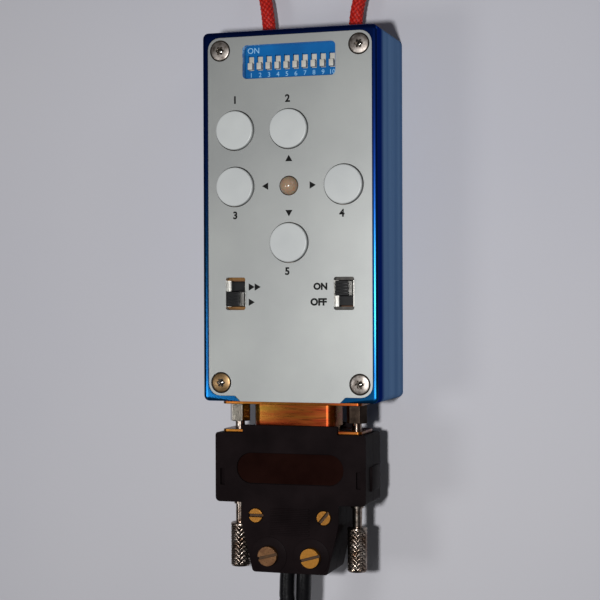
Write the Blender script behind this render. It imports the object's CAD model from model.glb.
import math

import bmesh
import bpy
from mathutils import Matrix, Vector


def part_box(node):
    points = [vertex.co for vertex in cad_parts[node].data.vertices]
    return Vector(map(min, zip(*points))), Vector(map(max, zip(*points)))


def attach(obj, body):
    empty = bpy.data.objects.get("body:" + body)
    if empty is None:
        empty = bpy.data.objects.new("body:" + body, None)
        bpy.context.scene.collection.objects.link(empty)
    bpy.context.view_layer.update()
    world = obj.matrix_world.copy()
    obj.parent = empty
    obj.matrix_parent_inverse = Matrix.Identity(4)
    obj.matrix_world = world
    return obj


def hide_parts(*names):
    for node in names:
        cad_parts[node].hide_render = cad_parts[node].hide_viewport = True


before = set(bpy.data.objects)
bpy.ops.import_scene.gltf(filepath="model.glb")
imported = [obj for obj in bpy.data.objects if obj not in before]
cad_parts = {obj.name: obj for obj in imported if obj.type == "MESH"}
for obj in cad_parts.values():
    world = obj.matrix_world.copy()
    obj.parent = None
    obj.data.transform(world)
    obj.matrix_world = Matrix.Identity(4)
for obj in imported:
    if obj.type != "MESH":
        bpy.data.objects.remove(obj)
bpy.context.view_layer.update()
mm = 0.001

# Camera: a compact camera held a little to the right of the handset and square to its length,
# looking down on the face from about 0.4 m. The frame is square.
eye = Vector((121.8, -21.6, 405.4)) * mm
look = Vector((-0.30004, -0.0026, -0.9539)).normalized()
right = look.cross(Vector((0.0024, 1.0, -0.0035))).normalized()
lens = bpy.data.cameras.new("camera")
lens.lens = 88.96
lens.sensor_width = 36
lens.clip_start = 0.01
camera = bpy.data.objects.new("camera", lens)
turned = Matrix((right, right.cross(look), -look)).transposed().to_4x4()
camera.matrix_world = Matrix.Translation(eye) @ turned
bpy.context.scene.collection.objects.link(camera)
bpy.context.scene.camera = camera
bpy.context.scene.view_settings.view_transform = "Standard"

# Finishes: every surface has two tones that drift into each other, a fine grain and an uneven gloss.
# One node group holds that, and each finish places it with its own colours, sizes and gloss.
toned_grain = bpy.data.node_groups.new("toned_grain", "ShaderNodeTree")
for label, kind, value in (("Stretch", "NodeSocketVector", (1, 1, 1)),
                           ("First Colour", "NodeSocketColor", (1, 1, 1, 1)),
                           ("Second Colour", "NodeSocketColor", (1, 1, 1, 1)),
                           ("Tone Scale", "NodeSocketFloat", 80),
                           ("Grain Scale", "NodeSocketFloat", 4000),
                           ("Low Roughness", "NodeSocketFloat", 0.4),
                           ("High Roughness", "NodeSocketFloat", 0.5)):
    socket = toned_grain.interface.new_socket(name=label, in_out="INPUT", socket_type=kind)
    socket.default_value = value
for label, kind in (("Colour", "NodeSocketColor"), ("Roughness", "NodeSocketFloat"),
                    ("Height", "NodeSocketFloat")):
    toned_grain.interface.new_socket(name=label, in_out="OUTPUT", socket_type=kind)
grain_nodes, grain_links = toned_grain.nodes, toned_grain.links
given = grain_nodes.new("NodeGroupInput")
made = grain_nodes.new("NodeGroupOutput")
place = grain_nodes.new("ShaderNodeTexCoord")
pull = grain_nodes.new("ShaderNodeVectorMath")
pull.operation = "MULTIPLY"
tone = grain_nodes.new("ShaderNodeTexNoise")
tone.inputs["Detail"].default_value = 4
speck = grain_nodes.new("ShaderNodeTexNoise")
speck.inputs["Detail"].default_value = 2
share = grain_nodes.new("ShaderNodeMapRange")
share.inputs["From Min"].default_value = 0.32
share.inputs["From Max"].default_value = 0.68
blend = grain_nodes.new("ShaderNodeMix")
blend.data_type = "RGBA"
gloss = grain_nodes.new("ShaderNodeMapRange")
gloss.inputs["From Min"].default_value = 0.3
gloss.inputs["From Max"].default_value = 0.7
grain_links.new(place.outputs["Object"], pull.inputs[0])
grain_links.new(given.outputs["Stretch"], pull.inputs[1])
for noise, scale in ((tone, "Tone Scale"), (speck, "Grain Scale")):
    grain_links.new(pull.outputs[0], noise.inputs["Vector"])
    grain_links.new(given.outputs[scale], noise.inputs["Scale"])
grain_links.new(tone.outputs["Fac"], share.inputs["Value"])
grain_links.new(share.outputs["Result"], blend.inputs["Factor"])
grain_links.new(given.outputs["First Colour"], blend.inputs["A"])
grain_links.new(given.outputs["Second Colour"], blend.inputs["B"])
grain_links.new(speck.outputs["Fac"], gloss.inputs["Value"])
grain_links.new(given.outputs["Low Roughness"], gloss.inputs["To Min"])
grain_links.new(given.outputs["High Roughness"], gloss.inputs["To Max"])
grain_links.new(blend.outputs["Result"], made.inputs["Colour"])
grain_links.new(gloss.outputs["Result"], made.inputs["Roughness"])
grain_links.new(speck.outputs["Fac"], made.inputs["Height"])


def shade(code):
    """A #rrggbb colour as the linear colour that a socket takes."""
    parts = [int(code[i:i + 2], 16) / 255 for i in (1, 3, 5)]
    return [p / 12.92 if p <= 0.04045 else ((p + 0.055) / 1.055) ** 2.4 for p in parts] + [1.0]


def surface(name, first, second, rough=(0.4, 0.5), tones=80, grain=4000, stretch=(1, 1, 1), relief=0.01,
            **sockets):
    """A material on the toned grain, its relief in mm, with the shader's other sockets named in words."""
    material = bpy.data.materials.new(name)
    material.use_nodes = True
    nodes, links = material.node_tree.nodes, material.node_tree.links
    shader = nodes["Principled BSDF"]
    group = nodes.new("ShaderNodeGroup")
    group.name = "grain"
    group.node_tree = toned_grain
    for label, value in (("Stretch", stretch), ("First Colour", shade(first)),
                         ("Second Colour", shade(second)), ("Tone Scale", tones), ("Grain Scale", grain),
                         ("Low Roughness", rough[0]), ("High Roughness", rough[1])):
        group.inputs[label].default_value = value
    bump = nodes.new("ShaderNodeBump")
    bump.inputs["Distance"].default_value = relief * mm
    links.new(group.outputs["Colour"], shader.inputs["Base Color"])
    links.new(group.outputs["Roughness"], shader.inputs["Roughness"])
    links.new(group.outputs["Height"], bump.inputs["Height"])
    links.new(bump.outputs["Normal"], shader.inputs["Normal"])
    for label, value in sockets.items():
        shader.inputs[label.replace("_", " ")].default_value = value
    return material


# Floor and light: a pale grey table top and a dim even light all round. A small lamp just left of the lens,
# like a camera's own flash, throws the short shadows. A softer lamp high on the left and a wide one on the
# right draw the highlights along the rim.
table_half, table_gap = 1500, 0.05
floor_mesh = bmesh.new()
bmesh.ops.create_grid(floor_mesh, x_segments=1, y_segments=1, size=table_half * mm)
bmesh.ops.translate(floor_mesh, verts=floor_mesh.verts, vec=(0, 0, -table_gap * mm))
floor_data = bpy.data.meshes.new("floor")
floor_mesh.to_mesh(floor_data)
floor_mesh.free()
floor_data.materials.append(surface("table_top", "#bcbcc4", "#c4c3c8", (0.7, 0.8), 4, 900, relief=0.02,
                                    Specular_IOR_Level=0.1))
floor = bpy.data.objects.new("floor", floor_data)
bpy.context.scene.collection.objects.link(floor)

sky = bpy.data.worlds.new("sky")
sky.use_nodes = True
sky.node_tree.nodes["Background"].inputs["Color"].default_value = (0.93, 0.95, 1.0, 1)
sky.node_tree.nodes["Background"].inputs["Strength"].default_value = 0.052
bpy.context.scene.world = sky
for label, where, wide, power in (("key_lamp", (51, -30, 408), 24, 1.2),
                                  ("ceiling_lamp", (-268, -88, 430), 125, 0.34),
                                  ("right_lamp", (540, 400, 300), 300, 0.36)):
    lamp_data = bpy.data.lights.new(label, "AREA")
    lamp_data.shape = "DISK"
    lamp_data.size = wide * mm
    lamp_data.energy = power
    lamp = bpy.data.objects.new(label, lamp_data)
    aimed = Vector(where).to_track_quat("Z", "Y").to_matrix().to_4x4()
    lamp.matrix_world = Matrix.Translation(Vector(where) * mm) @ aimed
    bpy.context.scene.collection.objects.link(lamp)

# Motor leads: two round black leads, 4.2 mm, side by side out of the hood and then one above the other.
# Their spare length is wound into a tied hank, two loops in, a drop along a run, and two loops out.
# The course gives, for distances from the hood, the share of the way to the hank's side and height.
lead_d, layer = 4.2, 4.75
hood_end_y, axis_z = -95.8, 20.4
fold, step, loops, run = 12.6, 5.1, 2, 63.0
quarter, turn_cuts, waist = 0.25, 24, 0.08
twist_from, twist_over = 2.2, 44.0
strap_room, plug_z = 0.7, 5.0
lead_course = ((-9, 0, 0), (-3.8, 0, 0), (-2.2, 0, 0), (0.4, 0.024, 0), (3, 0.036, 0), (7, 0.042, 0.02),
               (11.2, 0.075, 0.08), (19.7, 0.34, 0.33), (27.7, 0.68, 0.66), (36.2, 0.92, 0.9), (45.2, 1, 1),
               (50.2, 1, 1))
tails = {1: ((0.8, 8, 0), (3.8, 16, 0.05), (8.3, 22.5, 0.4), (12.3, 28.5, 0.85), (13.8, 34, 1),
             (13.8, 39, 1)),
         -1: ((0, 8, 0.05), (0.8, 16, 0.3), (2.6, 24, 0.85), (3.3, 29, 1), (3.3, 34, 1))}
hank_x = fold + loops * step
hank_foot = strap_room + lead_d / 2 + layer / 2
hank_top = hank_foot + 2 * layer
hank_y = hood_end_y - lead_course[-1][0] - lead_d


def eased(k):
    """A share from 0 to 1 that sets off and arrives gently."""
    k = min(1.0, max(0.0, k))
    return k * k * (3 - 2 * k)


def lead_points(side):
    """Course of one lead in mm: from the hood, through the hank, to its plug."""
    middle = [Vector((-hank_x * x, hood_end_y - d, axis_z + (hank_top - axis_z) * z))
              for d, x, z in lead_course]
    points = []
    for i, p in enumerate(middle):
        along = middle[min(i + 1, len(middle) - 1)] - middle[max(i - 1, 0)]
        turn = math.radians(90) * eased((hood_end_y - p.y - twist_from) / twist_over)
        across = Vector((along.y, -along.x, 0)).normalized()
        points.append(p + side * layer / 2 * (math.cos(turn) * across + math.sin(turn) * Vector((0, 0, 1))))
    for i in range(int((2 * loops + quarter) * turn_cuts) + 1):
        turn = i / turn_cuts
        lane = fold + step * (abs(turn - loops - quarter / 2) - quarter / 2)
        level = hank_top + (hank_foot - hank_top) * eased((turn - loops) / quarter) + side * layer / 2
        half_turn = turn % (2 * quarter)
        if half_turn < quarter:
            y = run * (0.5 - half_turn / quarter)
            spot = Vector((-lane * (1 - waist * math.cos(math.pi * y / run) ** 2), y))
        else:
            bend = math.pi * (half_turn / quarter - 1)
            spot = Vector((-lane * math.cos(bend), -run / 2 - lane * math.sin(bend)))
        if turn % 1 >= 2 * quarter:
            spot = -spot
        points.append(Vector((spot.x, spot.y + hank_y - run / 2, level)))
    low = hank_foot + side * layer / 2
    points += [Vector((x - hank_x, hank_y - run - d, low + (plug_z - low) * z)) for x, d, z in tails[side]]
    return points


def smoothed(points, parts):
    """A smooth line through points, each stretch cut into parts."""
    line = []
    for i in range(len(points) - 1):
        a, b = points[max(i - 1, 0)], points[i]
        c, d = points[i + 1], points[min(i + 2, len(points) - 1)]
        for k in range(parts):
            t = k / parts
            line.append(0.5 * (2 * b + (c - a) * t + (2 * a - 5 * b + 4 * c - d) * t ** 2
                               + (3 * b - a - 3 * c + d) * t ** 3))
    return line + [points[-1]]


jacket = surface("lead_jacket", "#08080a", "#100f11", (0.26, 0.36), 60, 1800, relief=0.02,
                 Specular_IOR_Level=0.25)
lead_sides = {"left": 1, "right": -1}
leads = {}
for word, side in lead_sides.items():
    line = smoothed(lead_points(side), parts=5)
    curve = bpy.data.curves.new(word + "_motor_lead", "CURVE")
    curve.dimensions = "3D"
    curve.bevel_depth = lead_d / 2 * mm
    curve.bevel_resolution = 5
    curve.use_fill_caps = True
    spline = curve.splines.new("POLY")
    spline.points.add(len(line) - 1)
    for point, spot in zip(spline.points, line):
        point.co = (*(spot * mm), 1)
    spline.use_smooth = True
    curve.materials.append(jacket)
    leads[word] = bpy.data.objects.new(word + "_motor_lead", curve)
    bpy.context.scene.collection.objects.link(leads[word])
    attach(leads[word], "handset")
    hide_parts(word + "_lead", word + "_lead_hank")


# Lead plugs: a round moulded plug on the far end of each lead, with a grooved boot, a ridged grip
# and a nickel nose with its pins. They are moulded onto the lead.
def spun(profile, cols=48):
    """A turned part round Z from (radius, height) pairs in mm, closed where the radius is 0."""
    bm = bmesh.new()
    verts = [bm.verts.new((r * mm, 0, h * mm)) for r, h in profile]
    edges = [bm.edges.new(pair) for pair in zip(verts, verts[1:])]
    bmesh.ops.spin(bm, geom=verts + edges, cent=(0, 0, 0), axis=(0, 0, 1), dvec=(0, 0, 0), angle=2 * math.pi,
                   steps=cols, use_merge=True, use_duplicate=False)
    bmesh.ops.remove_doubles(bm, verts=bm.verts, dist=0.001 * mm)
    bmesh.ops.recalc_face_normals(bm, faces=bm.faces)
    return bm


def soft_shaded(bm, limit=30):
    """Smooth faces that stay crisp along the edges sharper than limit degrees."""
    for face in bm.faces:
        face.smooth = True
    for edge in bm.edges:
        edge.smooth = len(edge.link_faces) == 2 and edge.calc_face_angle(0) < math.radians(limit)
    return bm


def piece(bm, name, body, slot, material, *nodes):
    """Puts a finished mesh into the scene: it rides on body and stands for the CAD nodes named."""
    mesh = bpy.data.meshes.new(name)
    soft_shaded(bm).to_mesh(mesh)
    bm.free()
    mesh.materials.append(material)
    obj = bpy.data.objects.new(name, mesh)
    bpy.context.scene.collection.objects.link(obj)
    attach(obj, body)
    if nodes:
        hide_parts(*nodes)
    return obj


def joined(*parts):
    """One mesh out of several, each given as (mesh, placing matrix)."""
    whole = bmesh.new()
    for part, place_at in parts:
        bmesh.ops.transform(part, matrix=place_at, verts=part.verts)
        held = bpy.data.meshes.new("held")
        part.to_mesh(held)
        part.free()
        whole.from_mesh(held)
        bpy.data.meshes.remove(held)
    return whole


def at(x, y, z):
    """A shift to a place in mm."""
    return Matrix.Translation(Vector((x, y, z)) * mm)


boot_ring, grip_ring, grip_r, groove_r = 1.5, 1.8, 5.0, 4.75
boot = [(0, 0), (3.1, 0)]
for i in range(5):
    foot = boot_ring * i
    boot += [(3.2 + 0.12 * i, foot + 0.3), (3.3 + 0.12 * i, foot + 1.2), (2.7 + 0.15 * i, foot + 1.4)]
grip = [(3.9, 7.9), (4.4, 8.0), (4.8, 8.2), (grip_r, 8.6)]
for i in range(6):
    foot = 11.0 + grip_ring * i
    grip += [(grip_r, foot), (groove_r, foot + 0.2), (groove_r, foot + 0.9), (grip_r, foot + 1.1)]
grip += [(grip_r, 24.4), (4.8, 24.8), (4.4, 25.0), (4.05, 25.0), (0, 25.0)]
nose = [(0, 24.9), (4.0, 24.9), (4.0, 32.6), (3.8, 32.9), (3.5, 33.0), (3.4, 32.9), (3.4, 28.0), (0, 28.0)]
pin = [(0, 27.9), (0.5, 27.9), (0.5, 32.0), (0.3, 32.4), (0, 32.5)]
pin_count, pin_ring = 5, 1.9
away = Matrix.Rotation(math.radians(90), 4, "X")
moulding = surface("plug_moulding", "#19191c", "#232226", (0.45, 0.6), 150, 5000, relief=0.03)
nickel = surface("nickel", "#aba59a", "#8d867b", (0.12, 0.24), 300, 3000, relief=0.004, Metallic=1.0)
for word, side in lead_sides.items():
    course = lead_points(side)
    stand = at(*course[-1]) @ away
    grip_piece = piece(joined((spun(boot + grip), stand)), word + "_plug_grip", "handset", "plug_black",
                       moulding, "lead_plugs")
    round_nose = [Matrix.Rotation(2 * math.pi * i / pin_count, 4, "Z") for i in range(pin_count)]
    pins = [(spun(pin, 12), stand @ turned_by @ at(pin_ring, 0, 0)) for turned_by in round_nose]
    nose_piece = piece(joined((spun(nose), stand), *pins), word + "_plug_nose", "handset", "nickel", nickel)

# Hank tie: a woven black strap round the waist of the hank, its end lapped over and pressed down.
# It lies flat under the loops and follows their outline.
tie_w, tie_t, tie_r = 10.0, 0.6, 2.0
tie_rows, corner_cuts = 8, 6
tie_y = hank_y - run / 2
tie_half = hank_x * (1 - waist) + lead_d / 2 + 0.3
tie_top = hank_top + layer / 2 + lead_d / 2 + 0.2
lap_l, lap_w, lap_t, lap_r, lap_x = 16, 9.2, 0.5, 2.0, 5
strap = bmesh.new()
ring = []
right_x, left_x = tie_half - tie_r, tie_r - tie_half
high_z, low_z = tie_top - tie_r, tie_t + tie_r
for cx, cz, start in ((right_x, high_z, 0), (left_x, high_z, 90), (left_x, low_z, 180),
                      (right_x, low_z, 270)):
    for k in range(corner_cuts + 1):
        turn = math.radians(start + 90 * k / corner_cuts)
        spot = Vector((cx + tie_r * math.cos(turn), tie_y - tie_w / 2, cz + tie_r * math.sin(turn)))
        ring.append(strap.verts.new(spot * mm))
rows = [strap.edges.new((ring[i], ring[(i + 1) % len(ring)])) for i in range(len(ring))]
for k in range(tie_rows):
    grown = bmesh.ops.extrude_edge_only(strap, edges=rows)["geom"]
    bmesh.ops.translate(strap, verts=[g for g in grown if isinstance(g, bmesh.types.BMVert)],
                        vec=(0, tie_w / tie_rows * mm, 0))
    rows = [g for g in grown if isinstance(g, bmesh.types.BMEdge)]
bmesh.ops.recalc_face_normals(strap, faces=strap.faces)
bmesh.ops.solidify(strap, geom=strap.faces, thickness=-tie_t * mm)
bmesh.ops.recalc_face_normals(strap, faces=strap.faces)
lap = bmesh.new()
bmesh.ops.create_cube(lap, size=1)
bmesh.ops.scale(lap, vec=Vector((lap_l, lap_w, lap_t)) * mm, verts=lap.verts)
lap_corners = [e for e in lap.edges if abs(e.verts[0].co.z - e.verts[1].co.z) > 0.1 * mm]
bmesh.ops.bevel(lap, geom=lap_corners, offset=lap_r * mm, offset_type="OFFSET", segments=4, profile=0.5,
                affect="EDGES", material=-1)
webbing = surface("strap_webbing", "#17171a", "#26252b", (0.8, 0.95), 500, 2600, (1, 0.4, 1), 0.12,
                  Sheen_Weight=0.3)
tie = joined((strap, Matrix()), (lap, at(lap_x, tie_y, tie_top + tie_t + lap_t / 2)))
piece(tie, "hank_strap", "handset", "strap", webbing, "hank_tie")

# Hanging cord: a red braided cord, 3.8 mm, out of one hole in the top end, round in a loop and into the
# other. Eight yarns run each way round it and pass over and under each other; a knot inside holds each end.
cord_r, braid_cols, braid_step = 1.9, 48, 0.22
yarns, yarn_pitch, gap_depth, yarn_rise = 8, 1.5, 0.32, 0.36
cord_half = ((12.6, 46.8, 6), (12.6, 50, 6), (12.7, 54, 6), (13.3, 59, 5.7), (14.4, 64, 4.6),
             (15.6, 69, 3), (16.2, 74, 2.1), (14.6, 79, 2), (10, 82.6, 2), (5, 84.2, 2))
cord_route = [Vector((-x, y, z)) for x, y, z in cord_half] + [Vector((0, 84.6, 2))]
cord_route += [Vector(p) for p in reversed(cord_half)]
knot_x, knot_y, knot_z = cord_half[0]
knot_profile = [(0, 0), (1.9, 0), (2.4, -0.6), (2.7, -1.8), (2.5, -3.2), (1.9, -4.3), (1.0, -4.8),
                (0, -4.9)]


def evenly(points, spacing):
    """Points at even steps along a smooth line through the given ones, with their directions."""
    line = smoothed(points, parts=40)
    along = [0.0]
    for a, b in zip(line, line[1:]):
        along.append(along[-1] + (b - a).length)
    count = round(along[-1] / spacing)
    spots, k = [], 0
    for i in range(count + 1):
        want = along[-1] * i / count
        while k < len(line) - 2 and along[k + 1] < want:
            k += 1
        spots.append(line[k].lerp(line[k + 1], (want - along[k]) / (along[k + 1] - along[k])))
    ways = [(spots[min(i + 1, count)] - spots[max(i - 1, 0)]).normalized() for i in range(count + 1)]
    return spots, ways, along[-1]


def yarn(around, along):
    """Crown of the braid at a spot: 0 in the gaps to 1 on top of a yarn."""
    a, b = yarns * around + along / yarn_pitch, yarns * around - along / yarn_pitch
    over = (math.floor(a) + math.floor(b)) % 2
    top, under = (a, b) if over else (b, a)
    return math.sin(math.pi * (top % 1)) ** 0.7 * (0.55 + 0.45 * math.sin(math.pi * (under % 1)))


spots, ways, cord_length = evenly(cord_route, braid_step)
braid_rows = len(spots) - 1
braid = bmesh.new()
bmesh.ops.create_grid(braid, x_segments=braid_cols, y_segments=braid_rows, size=1)
crown = braid.verts.layers.float.new("crown")
for vert in braid.verts:
    around = round((vert.co.x + 1) / 2 * braid_cols) / braid_cols
    row = round((vert.co.y + 1) / 2 * braid_rows)
    out = ways[row].cross(Vector((0, 0, 1))).normalized()
    rise = out.cross(ways[row])
    vert[crown] = yarn(around, cord_length * row / braid_rows)
    r = cord_r - gap_depth + yarn_rise * vert[crown]
    turn = 2 * math.pi * around
    vert.co = (spots[row] + r * (math.cos(turn) * out + math.sin(turn) * rise)) * mm
bmesh.ops.remove_doubles(braid, verts=braid.verts, dist=0.001 * mm)
bmesh.ops.holes_fill(braid, edges=[e for e in braid.edges if e.is_boundary], sides=0)
bmesh.ops.recalc_face_normals(braid, faces=braid.faces)
braided = surface("red_braid", "#a20b05", "#b8160a", (0.4, 0.55), 400, 9000, relief=0.03,
                  Specular_IOR_Level=0.3)
braid_nodes, braid_links = braided.node_tree.nodes, braided.node_tree.links
lit = braid_nodes.new("ShaderNodeAttribute")
lit.attribute_name = "crown"
tint = braid_nodes.new("ShaderNodeValToRGB")
tint.color_ramp.elements.new(0.72)
reds = ((0.1, "#3c0302"), (0.72, "#bc1408"), (1.0, "#d43a26"))
for stop, (spot, code) in zip(tint.color_ramp.elements, reds):
    stop.position = spot
    stop.color = shade(code)
dye = braid_nodes.new("ShaderNodeMix")
dye.data_type = "RGBA"
dye.inputs["Factor"].default_value = 0.62
braid_links.new(lit.outputs["Fac"], tint.inputs["Fac"])
braid_links.new(braid_nodes["grain"].outputs["Colour"], dye.inputs["A"])
braid_links.new(tint.outputs["Color"], dye.inputs["B"])
braid_links.new(dye.outputs["Result"], braid_nodes["Principled BSDF"].inputs["Base Color"])
hanger = piece(braid, "hanging_cord", "handset", "cord_red", braided, "lanyard")
inwards = Matrix.Rotation(math.radians(-90), 4, "X")
knots = joined(*((spun(knot_profile, 32), at(x, knot_y, knot_z) @ inwards) for x in (-knot_x, knot_x)))
knot_piece = piece(knots, "cord_knots", "handset", "cord_red",
                   surface("knotted_end", "#8e120c", "#d8281a", (0.5, 0.7), 900, 6000, relief=0.15),
                   "lanyard_knots")


# Case: a milled aluminium tub, anodised blue. Its sides keep the lengthwise marks of the profile it is cut
# from, and its front rim is rounded over and polished. The front plate lies in the rim.
def whole(node):
    """A merged copy of a CAD node's mesh, its flat faces in one piece again."""
    bm = bmesh.new()
    bm.from_mesh(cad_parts[node].data)
    bmesh.ops.remove_doubles(bm, verts=bm.verts, dist=0.0005 * mm)
    bmesh.ops.dissolve_limit(bm, angle_limit=math.radians(0.2), verts=bm.verts, edges=bm.edges)
    return bm


def rounded(obj, width, segments=2, finish=-1):
    """Breaks the sharp edges of a piece, in mm; finish picks one of its materials for them."""
    bevel = obj.modifiers.new("edges", "BEVEL")
    bevel.width = width * mm
    bevel.segments = segments
    bevel.limit_method = "ANGLE"
    bevel.angle_limit = math.radians(32)
    bevel.harden_normals = True
    bevel.material = finish


case_x, case_y, case_h, corner_r = 24.5, 50.0, 28.0, 1.5
corner_reach, notch_half, notch_y = 4.0, 15.9, -48.0
rim_round, rim_drop = 1.2, 0.5
wall_skin, corner_skin = 0.5, 0.3
tub = whole("case_tub")


def outer_rim(edge):
    """Whether an edge of the tub runs along the top of its outer wall, clear of the connector's notch."""
    spot = (edge.verts[0].co + edge.verts[1].co) / 2 / mm
    x, y = abs(spot.x), abs(spot.y)
    on_top = all(abs(v.co.z / mm - case_h) < 0.01 for v in edge.verts) and edge.calc_face_angle(0) > 1
    in_notch = spot.y < notch_y and x < notch_half
    by_wall = x > case_x - rim_round or y > case_y - rim_round or x + y > case_x + case_y - corner_reach
    return on_top and by_wall and not in_notch


rim_edges = [e for e in tub.edges if outer_rim(e)]
bmesh.ops.bevel(tub, geom=rim_edges, offset=rim_round * mm, offset_type="OFFSET", segments=9, profile=0.5,
                affect="EDGES", material=-1, clamp_overlap=False)
for vert in tub.verts:
    if vert.co.z > (case_h - rim_round - 0.01) * mm:
        vert.co.z = case_h * mm - (case_h * mm - vert.co.z) * rim_drop / rim_round


def graded(material, axis, start, end, code):
    """Lets a finish pass into another colour between two places on an axis, in mm."""
    nodes, links = material.node_tree.nodes, material.node_tree.links
    spot = nodes.new("ShaderNodeTexCoord")
    axes = nodes.new("ShaderNodeSeparateXYZ")
    climb = nodes.new("ShaderNodeMapRange")
    climb.interpolation_type = "SMOOTHSTEP"
    climb.inputs["From Min"].default_value = start * mm
    climb.inputs["From Max"].default_value = end * mm
    passing = nodes.new("ShaderNodeMix")
    passing.data_type = "RGBA"
    passing.inputs["B"].default_value = shade(code)
    base = nodes["Principled BSDF"].inputs["Base Color"]
    links.new(spot.outputs["Object"], axes.inputs["Vector"])
    links.new(axes.outputs[axis], climb.inputs["Value"])
    links.new(climb.outputs["Result"], passing.inputs["Factor"])
    links.new(base.links[0].from_socket, passing.inputs["A"])
    links.new(passing.outputs["Result"], base)


blue_rim = surface("polished_blue", "#08345a", "#0a3a62", (0.215, 0.225), 60, 9000, relief=0.0003,
                   Metallic=0.96)
graded(blue_rim, "Y", -15, 25, "#0f2c72")
graded(blue_rim, "Y", -42, -49, "#10588e")
blue_side = surface("profile_blue", "#5a7ca8", "#6a8cb6", (0.5, 0.66), 260, 2200, (1, 0.02, 1), 0.03,
                    Specular_IOR_Level=0.0)
graded(blue_side, "Z", case_h - 8, case_h - 3.5, "#06236e")
case = piece(tub, "case", "handset", "case_blue", blue_rim, "case_tub")
case.data.materials.append(blue_side)
case.data.materials.append(surface("navy_edge", "#03123c", "#061848", (0.4, 0.5), 200, 3000, relief=0.005))
for face in case.data.polygons:
    x, y = abs(face.center.x) / mm, abs(face.center.y) / mm
    past_x, past_y = x - (case_x - corner_r), y - (case_y - corner_r)
    at_corner = min(past_x, past_y) > 0 and math.hypot(past_x, past_y) > corner_r - corner_skin
    outside = x > case_x - wall_skin or y > case_y - wall_skin or at_corner
    face.material_index = int(outside and -0.05 < face.normal.z < 0.3)
rounded(case, 0.25, finish=2)

# Front plate: 2 mm aluminium sheet, blasted and clear anodised, let into the rim and held by four screws.
# Dirt sits round the screws and in the button holes, and the code switch's window has a bright cut edge.
# The marks are printed in black, and the maker's lines are left off.
plate_face = 27.8
plate_screw_x, plate_screw_y, sink_r = 19.5, 45.0, 2.95
pitch, pad_y, hole_r = 15.24, 8.0, 5.8
window_half, window_low, window_high = 13.5, 36, 47
holes = [Vector((x * pitch, pad_y + y * pitch))
         for x, y in ((-1, 1), (0, 1), (-1, 0), (0, 0), (1, 0), (0, -1))]
satin = surface("blasted_aluminium", "#8e908f", "#989a98", (0.39, 0.49), 40, 3600, relief=0.014,
                Metallic=0.66)
grime = surface("grime", "#2a2521", "#3d362f", (0.6, 0.8), 400, 4000, relief=0.02, Specular_IOR_Level=0.2)
cut_edge = surface("cut_edge", "#c3ced6", "#dbe3e8", (0.16, 0.26), 300, 4000, relief=0.003, Metallic=0.9)


def near_screw(spot, reach):
    """Whether a spot, in metres, lies within reach mm of the axis of a plate screw."""
    return math.hypot(abs(spot.x) / mm - plate_screw_x, abs(spot.y) / mm - plate_screw_y) < reach


faceplate = piece(whole("front_plate"), "faceplate", "handset", "plate_silver", satin, "front_plate")
faceplate.data.materials.append(grime)
faceplate.data.materials.append(cut_edge)
for face in faceplate.data.polygons:
    x, y, z = face.center / mm
    upright = abs(face.normal.z) < 0.1
    if near_screw(face.center, sink_r) and z < plate_face - 0.05:
        face.material_index = 1
    elif upright and any((hole - Vector((x, y))).length < hole_r for hole in holes):
        face.material_index = 1
    elif upright and abs(x) < window_half and window_low < y < window_high:
        face.material_index = 2
rounded(faceplate, 0.22, 3)

print_t, arrow_r, size_for_height = 0.024, 1.15, 1.38


def lettered(words, x, y, z, tall, heavy):
    """A word as a thin print, tall mm high and heavier than its font by heavy mm, centred on (x, y)."""
    text = bpy.data.curves.new(words, "FONT")
    text.body = words
    text.align_x, text.align_y = "CENTER", "CENTER"
    text.size = tall * size_for_height
    text.offset = heavy
    text.extrude = print_t / 2
    text.resolution_u = 3
    holder = bpy.data.objects.new(words, text)
    bpy.context.scene.collection.objects.link(holder)
    flat = bpy.data.meshes.new_from_object(holder.evaluated_get(bpy.context.evaluated_depsgraph_get()))
    bpy.data.objects.remove(holder)
    bpy.data.curves.remove(text)
    bm = bmesh.new()
    bm.from_mesh(flat)
    bpy.data.meshes.remove(flat)
    bmesh.ops.transform(bm, matrix=at(x, y, z) @ Matrix.Scale(mm, 4), verts=bm.verts)
    return bm


def arrow(x, y, turn):
    """A small printed triangle that points the way of its button."""
    bm = bmesh.new()
    bmesh.ops.create_cone(bm, cap_ends=True, segments=3, radius1=arrow_r * mm, radius2=arrow_r * mm,
                          depth=print_t * mm,
                          matrix=at(x, y, plate_face) @ Matrix.Rotation(math.radians(turn), 4, "Z"))
    return bm


print_black = surface("black_print", "#0a0a0a", "#121212", (0.55, 0.7), 300, 6000, relief=0.01,
                      Specular_IOR_Level=0.1)
prints = []
for words, x, y, tall, heavy in (("ON", 8.75, -19.1, 1.75, 0.13), ("OFF", 8.2, -23.25, 1.85, 0.13),
                                 ("1", -pitch, 31.4, 2.0, 0.1), ("2", -0.3, 31.3, 2.0, 0.1),
                                 ("3", -pitch, 0.2, 2.0, 0.1), ("4", pitch - 0.5, 0.3, 2.0, 0.1),
                                 ("5", -0.5, -15.0, 2.0, 0.1)):
    prints.append(lettered(words, x, y, plate_face, tall, heavy))
for x, y, turn in ((-6.4, pad_y, 90), (6.4, pad_y, 270), (0, 15.1, 0), (0, 0.9, 180),
                   (-10.9, -19.1, 270), (-9.2, -19.1, 270), (-10.9, -23.2, 270)):
    prints.append(arrow(x, y, turn))
piece(joined(*((p, Matrix()) for p in prints)), "plate_print", "handset", "switch_black", print_black)

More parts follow.
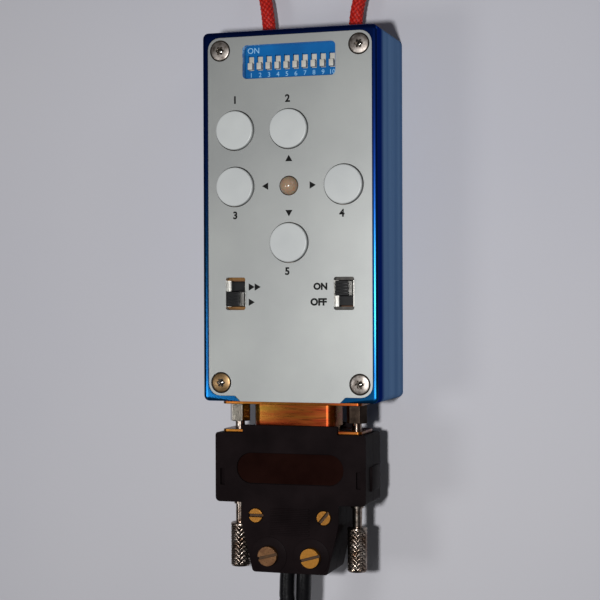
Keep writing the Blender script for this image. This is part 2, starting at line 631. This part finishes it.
# Plate screws: four steel screws, their low crowned heads sunk in the plate, with a six-lobed socket.
# They are nickel plated and a little stained, the lower left one browned. Dirt sits in the sockets, and
# their floors shine through.
head_rim_r, head_edge_r, head_round, socket_r = 2.6, 2.5, 0.26, 1.25
head_foot = (plate_face - 0.1) * mm
socket_floor = [(0, 26.8), (0.72, 26.8), (0.62, 27.05), (0.38, 27.22), (0, 27.28)]
plated = surface("plated_steel", "#a29b95", "#584f48", (0.34, 0.46), 700, 2500, relief=0.006, Metallic=0.85)
worn = surface("worn_plating", "#14110f", "#6a6158", (0.3, 0.42), 900, 2500, relief=0.02, Metallic=0.8)
browned = surface("browned_plating", "#8c7250", "#6f5638", (0.3, 0.42), 90, 2500, relief=0.006,
                  Metallic=0.85)
screw_heads = whole("plate_screws")
head_rim = [e for e in screw_heads.edges if e.calc_face_angle(0) > 0.6
            and all(not near_screw(v.co, head_rim_r) and v.co.z > head_foot for v in e.verts)]
bmesh.ops.bevel(screw_heads, geom=head_rim, offset=head_round * mm, offset_type="OFFSET", segments=4,
                profile=0.5, affect="EDGES", material=-1)
plate_screws = piece(screw_heads, "faceplate_screws", "handset", "steel", plated, "plate_screws")
plate_screws.data.materials.append(worn)
plate_screws.data.materials.append(browned)
for face in plate_screws.data.polygons:
    in_socket = near_screw(face.center, socket_r) and face.center.z < head_foot
    edge_of_head = not near_screw(face.center, head_edge_r) and face.center.z < plate_face * mm
    lower_left = face.center.x < 0 and face.center.y < 0
    face.material_index = 1 if in_socket or edge_of_head else 2 * lower_left
socket_points = [(spun(socket_floor, 24), at(x, y, 0))
                 for x in (-plate_screw_x, plate_screw_x) for y in (-plate_screw_y, plate_screw_y)]
piece(joined(*socket_points), "socket_points", "handset", "steel",
      surface("bright_steel", "#d6d1ca", "#b8b1a8", (0.12, 0.2), 400, 3000, relief=0.003, Metallic=1.0))

# Push buttons: five round off-white caps with a soft edge, which stand 1 mm proud of the plate.
# They are moulded in hard plastic, and each is pressed on the stem of a switch under the plate.
button_names = ("mode", "up", "left", "right", "down")
ivory = surface("cap_plastic", "#b2b5b5", "#babdbc", (0.3, 0.4), 90, 5000, relief=0.006,
                Specular_IOR_Level=0.4)
for word in button_names:
    piece(whole("cap_" + word), "button_" + word, "key_" + word, "cap_white", ivory, "cap_" + word)

# Code switch: a bright blue moulded block on the board, seen through the plate's window. Ten white sliders
# run in its slots, just under its face, each with a pip for the finger. They are numbered from one to ten,
# and the switched-on side is marked.
code_y, code_face, way, ways_count = 41.6, 25.2, 2.54, 10
mark_y, mark_x = 3.3, -10.75
slider_t, bar_w, pip_w, pip_l, pip_sunk = 0.8, 1.4, 1.25, 1.8, 0.1
code_blue = surface("code_plastic", "#04528f", "#065e9e", (0.3, 0.42), 120, 5000, relief=0.01,
                    Specular_IOR_Level=0.15)
code_white = surface("slider_plastic", "#b9b6ae", "#aeaaa0", (0.4, 0.5), 300, 5000, relief=0.01)
code_block = piece(whole("code_switch_body"), "code_block", "handset", "code_blue", code_blue,
                   "code_switch_body")
rounded(code_block, 0.1)
numbers = [lettered(str(i), (i - (ways_count + 1) / 2) * way, code_y - mark_y, code_face, 1.3, 0.0)
           for i in range(1, ways_count + 1)]
numbers.append(lettered("ON", mark_x, code_y + mark_y, code_face, 1.6, 0.0))
piece(joined(*((n, Matrix()) for n in numbers)), "code_numbers", "handset", "slider_white",
      surface("white_print", "#79aed4", "#8dbcdc", (0.5, 0.6), 300, 5000))


def eased_block(wide, long, tall, edge):
    """A block round the origin with its edges eased, in mm."""
    bm = bmesh.new()
    bmesh.ops.create_cube(bm, size=1)
    bmesh.ops.scale(bm, vec=Vector((wide, long, tall)) * mm, verts=bm.verts)
    bmesh.ops.bevel(bm, geom=bm.edges[:], offset=edge * mm, offset_type="OFFSET", segments=3, profile=0.5,
                    affect="EDGES", material=-1)
    return bm


for i in range(1, ways_count + 1):
    node = "code_slider_%d" % i
    low, high = (Vector(corner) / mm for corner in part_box(node))
    mid, size = (low + high) / 2, high - low
    bar = eased_block(bar_w, size.y, slider_t, 0.06)
    pip = eased_block(pip_w, pip_l, size.z - slider_t + pip_sunk, 0.1)
    slider = joined((bar, at(mid.x, mid.y, low.z + slider_t / 2)),
                    (pip, at(mid.x, mid.y, (high.z + low.z + slider_t - pip_sunk) / 2)))
    piece(slider, "code_pip_%d" % i, "way_%d" % i, "slider_white", code_white, node)

# Lamp: a 5 mm lamp with a milky peach lens, cast in one piece of clouded resin.
# It stands on the board and looks out of a hole in the plate, between the direction buttons.
milky = surface("milky_lens", "#98806a", "#a68e76", (0.14, 0.2), 260, 3000, relief=0.004,
                Subsurface_Weight=0.4, Subsurface_Scale=0.0012)
piece(whole("lamp"), "lens", "handset", "lens", milky, "lamp")

# Slide switches: a folded frame of tinned steel, stained brown at its ends, a brown board in it
# and a tall black knob with ribs across its top for the finger.
slide_y, slot_half = -20.9, 3.5
rib_w, rib_l, rib_t, rib_places = 3.3, 0.42, 0.4, (-1.2, -0.4, 0.4, 1.2)
tinned = surface("tinned_steel", "#dedcd6", "#c9c6bf", (0.28, 0.4), 300, 2500, relief=0.006, Metallic=0.6)
stained = surface("stained_tin", "#573a16", "#77542a", (0.35, 0.5), 500, 2500, relief=0.01, Metallic=0.6)
dulled = surface("dull_tin", "#302e2c", "#484540", (0.35, 0.5), 500, 2500, relief=0.01, Metallic=0.6)
knob_plastic = surface("knob_plastic", "#070708", "#0e0e10", (0.3, 0.42), 200, 5000, relief=0.01,
                       Specular_IOR_Level=0.2)
frames = whole("slide_switch_frames")
for y in (slide_y - slot_half, slide_y + slot_half):
    bmesh.ops.bisect_plane(frames, geom=frames.verts[:] + frames.edges[:] + frames.faces[:],
                           dist=0.0005 * mm, plane_co=(0, y * mm, 0), plane_no=(0, 1, 0))
frame_piece = piece(frames, "switch_frames", "handset", "chromate", tinned, "slide_switch_frames")
frame_piece.data.materials.append(stained)
frame_piece.data.materials.append(dulled)
for face in frame_piece.data.polygons:
    if abs(face.center.y / mm - slide_y) > slot_half:
        face.material_index = 1 if face.center.x < 0 else 2
rounded(frame_piece, 0.08)
for node, body in (("speed_knob", "speed_switch"), ("power_knob", "power_switch")):
    low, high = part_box(node)
    mid = (low + high) / 2 / mm
    ribs = [(eased_block(rib_w, rib_l, rib_t, 0.1), at(mid.x, mid.y + k, high.z / mm)) for k in rib_places]
    knob = joined((whole(node), Matrix()), *ribs)
    rounded(piece(knob, "switch_" + node, body, "knob_black", knob_plastic, node), 0.18)

# Connector: a pressed steel shell with a flange on the case and one on the plug, in yellow chromate that
# plays from gold to orange; black moulded inserts hold the gold contacts.
chromate = surface("yellow_chromate", "#701f03", "#6a4a0e", (0.24, 0.34), 300, 1600, (0.15, 1.4, 1), 0.002,
                   Metallic=0.85)
for node, name in (("socket_shell", "case_side_shell"), ("plug_shell", "plug_side_shell")):
    rounded(piece(whole(node), name, "handset", "chromate", chromate, node), 0.14)

# Standoffs: turned hexagons of nickelled brass that hold the socket's flange and take the thumbscrews.
# Their plating is stained dark, apart from the upper facets of the left one, which are bright.
stained_nickel = surface("stained_nickel", "#1c1612", "#382e27", (0.3, 0.42), 400, 2600, relief=0.006,
                         Metallic=1.0)
standoffs = piece(whole("standoffs"), "hex_standoffs", "handset", "nickel", nickel, "standoffs")
standoffs.data.materials.append(stained_nickel)
for face in standoffs.data.polygons:
    face.material_index = int(face.center.x > 0 or face.normal.z < 0.4)
rounded(standoffs, 0.2)

# Hood: two moulded halves of black plastic, split at the middle of the connector and screwed together.
# The front has a sunk label field, two latch slots, a ribbed grip and low round pads under the clamp screws,
# and a latch stands out a little on each side.
hood_face, tail_end = 28.15, -95.5
rib_count, grip_rib_w, grip_rib_t, grip_y, grip_step = 8, 11, 0.5, -78.7, 0.95
clamp_x, clamp_y = 5.96, -91.3
pad_profile = [(2.75, -0.3), (2.75, 0.1), (2.85, 0.2), (4.9, 0.2), (5.1, 0.12), (5.15, 0.0), (5.15, -0.3),
               (2.75, -0.3)]
latch_w, latch_l, latch_t = 0.9, 6.6, 9.0
latch_x, latch_y, latch_z = 21.1, -70.5, axis_z - 1.6
field_r, field_half, field_t, field_y, field_sunk = 4.05, 10.85, 0.12, -67.9, 0.6
hood_plastic = surface("hood_plastic", "#110c0d", "#191314", (0.36, 0.46), 130, 3800, relief=0.02,
                       Specular_IOR_Level=0.01)
for node, name in (("hood_front", "hood_front_half"), ("hood_rear", "hood_rear_half")):
    rounded(piece(whole(node), name, "handset", "hood_black", hood_plastic, node), 0.35, 3)
trims = [(eased_block(grip_rib_w, grip_rib_t, grip_rib_t, 0.15), at(0, grip_y - grip_step * i, hood_face))
         for i in range(rib_count)]
for x in (-clamp_x, clamp_x):
    pad = joined((spun(pad_profile, 64), at(x, clamp_y, hood_face)))
    bmesh.ops.bisect_plane(pad, geom=pad.verts[:] + pad.edges[:] + pad.faces[:], dist=0.0005 * mm,
                           clear_outer=True, plane_co=(0, tail_end * mm, 0), plane_no=(0, -1, 0))
    bmesh.ops.holes_fill(pad, edges=[e for e in pad.edges if e.is_boundary], sides=0)
    bmesh.ops.recalc_face_normals(pad, faces=pad.faces)
    trims.append((pad, Matrix()))
for x in (-latch_x, latch_x):
    trims.append((eased_block(latch_w, latch_l, latch_t, 0.3), at(x, latch_y, latch_z)))
piece(joined(*trims), "hood_trim", "handset", "hood_black", hood_plastic)
field = bmesh.new()
bmesh.ops.create_circle(field, cap_ends=True, segments=48, radius=field_r * mm)
for vert in field.verts:
    vert.co.x += math.copysign(field_half * mm, vert.co.x) if abs(vert.co.x) > 0.01 * mm else 0
raised = bmesh.ops.extrude_face_region(field, geom=field.faces[:])["geom"]
bmesh.ops.translate(field, verts=[g for g in raised if isinstance(g, bmesh.types.BMVert)],
                    vec=(0, 0, field_t * mm))
bmesh.ops.recalc_face_normals(field, faces=field.faces)
piece(joined((field, at(0, field_y, hood_face - field_sunk))), "hood_label_field", "handset", "hood_black",
      surface("label_field", "#140604", "#1a0a07", (0.3, 0.4), 200, 4000, relief=0.01,
              Specular_IOR_Level=0.01))

# Hood and clamp screws: slotted screws turned from brass, two small ones at the shoulders that hold the
# halves together and two large ones that press the clamp on the leads. Their slots are tarnished, and the
# left large one has a copper tone.
slot_top, slot_foot = 0.1, 0.85
brass = surface("brass", "#ae762b", "#986525", (0.28, 0.38), 90, 2600, relief=0.001, Metallic=0.7)
coppered = surface("coppered_brass", "#86603f", "#66442b", (0.26, 0.36), 500, 2600, relief=0.002,
                   Metallic=0.7)
tarnish = surface("tarnished_brass", "#2e1c0a", "#4a3014", (0.4, 0.55), 300, 3000, relief=0.01, Metallic=0.5)
for node, name in (("hood_screws", "small_brass_screws"), ("clamp_screws", "large_brass_screws")):
    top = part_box(node)[1].z
    screws = piece(whole(node), name, "handset", "brass", brass, node)
    screws.data.materials.append(tarnish)
    screws.data.materials.append(coppered)
    for face in screws.data.polygons:
        slot_wall = abs(math.hypot(face.normal.x, face.normal.y) - 1) < 0.01 and face.area > 1e-6
        slot_height = top - slot_foot * mm < face.center.z < top - slot_top * mm
        if slot_height and (slot_wall or face.normal.z > 0.9):
            face.material_index = 1
        elif node == "clamp_screws" and face.center.x < 0:
            face.material_index = 2
    rounded(screws, 0.12)


# Thumbscrews: long screws of nickelled brass that draw the plug into the socket, turned in one piece with a
# cross-knurled knob. A collar keeps each in the hood's ear, and the plating is worn and brown in places.
def knurled(profile, first, last, around_count, along_pitch, depth, cuts=12):
    """A turned part round Z whose wall from first to last carries a diamond knurl, in mm."""
    heights = []
    for (r0, h0), (r1, h1) in zip(profile, profile[1:]):
        rows = round((h1 - h0) / along_pitch * cuts) if h1 > first and h0 < last else 1
        heights += [(r0 + (r1 - r0) * k / rows, h0 + (h1 - h0) * k / rows) for k in range(rows)]
    heights.append(profile[-1])
    cols = around_count * cuts
    bm = bmesh.new()
    bmesh.ops.create_grid(bm, x_segments=cols, y_segments=len(heights) - 1, size=1)
    for vert in bm.verts:
        around = round((vert.co.x + 1) / 2 * cols) / cols
        r, h = heights[round((vert.co.y + 1) / 2 * (len(heights) - 1))]
        if first < h < last:
            a, b = around * around_count + h / along_pitch, around * around_count - h / along_pitch
            r += depth * (min(1 - abs(2 * (a % 1) - 1), 1 - abs(2 * (b % 1) - 1)) - 1)
        turn = 2 * math.pi * around
        vert.co = Vector((r * math.cos(turn), r * math.sin(turn), h)) * mm
    bmesh.ops.remove_doubles(bm, verts=bm.verts, dist=0.001 * mm)
    bmesh.ops.recalc_face_normals(bm, faces=bm.faces)
    return bm


thumb_x = 16.65
thumb = [(0, 0), (1.1, 0), (1.3, 0.2), (1.3, 24.8), (1.75, 24.8), (1.75, 25.8), (1.3, 25.8), (1.3, 30.9),
         (2.3, 30.9), (2.6, 31.1), (2.7, 31.4), (2.7, 42.4), (2.4, 42.9), (2.1, 43.0), (0, 43.0)]
knurl = {"first": 31.6, "last": 42.3, "around_count": 13, "along_pitch": 1.294, "depth": 0.34}
dull_nickel = surface("worn_nickel", "#a99f96", "#604a3b", (0.18, 0.26), 500, 2600, relief=0.001,
                      Metallic=1.0)
for word, x in (("left", -thumb_x), ("right", thumb_x)):
    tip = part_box(word + "_thumbscrew")[1].y
    stand = Matrix.Translation((x * mm, tip, axis_z * mm)) @ away
    piece(joined((knurled(thumb, **knurl), stand)), word + "_thumb_screw", word + "_screw", "nickel",
          dull_nickel, word + "_thumbscrew")

# Inner works: the board with its switches, chips and fixings, which the closed case and hood hide.
# They keep the shapes of the solids and get the finishes of their kind.
inner = {
    "circuit_board": surface("board_lacquer", "#175a2e", "#1f6f3b", (0.3, 0.45), 200, 3000, relief=0.01),
    "controller_chip": surface("chip_moulding", "#1b1b1e", "#252529", (0.55, 0.7), 300, 6000, relief=0.02),
    "capacitor": surface("sleeve_film", "#1d2b52", "#263763", (0.25, 0.35), 150, 3000, relief=0.008),
    "push_switch_bases": surface("switch_moulding", "#161618", "#202022", (0.4, 0.55), 200, 5000,
                                 relief=0.015),
    "push_switch_covers": plated, "board_screws": plated, "clamp_bar": plated,
    "slide_switch_boards": surface("paper_laminate", "#5f3a1a", "#6e4622", (0.5, 0.65), 250, 3500,
                                   relief=0.02),
    "socket_insulator": surface("insert_moulding", "#131314", "#1c1c1d", (0.4, 0.5), 200, 5000, relief=0.01),
    "socket_pins": surface("gold_contact", "#caa23e", "#d8b85c", (0.15, 0.28), 300, 3000, relief=0.003,
                           Metallic=1.0),
}
inner["driver_chips"] = inner["regulator"] = inner["controller_chip"]
inner["plug_insulator"] = inner["socket_insulator"]
inner["plug_contacts"] = inner["socket_pins"]
for word in button_names:
    inner["stem_" + word] = ivory
for node, material in inner.items():
    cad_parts[node].data.materials.clear()
    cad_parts[node].data.materials.append(material)
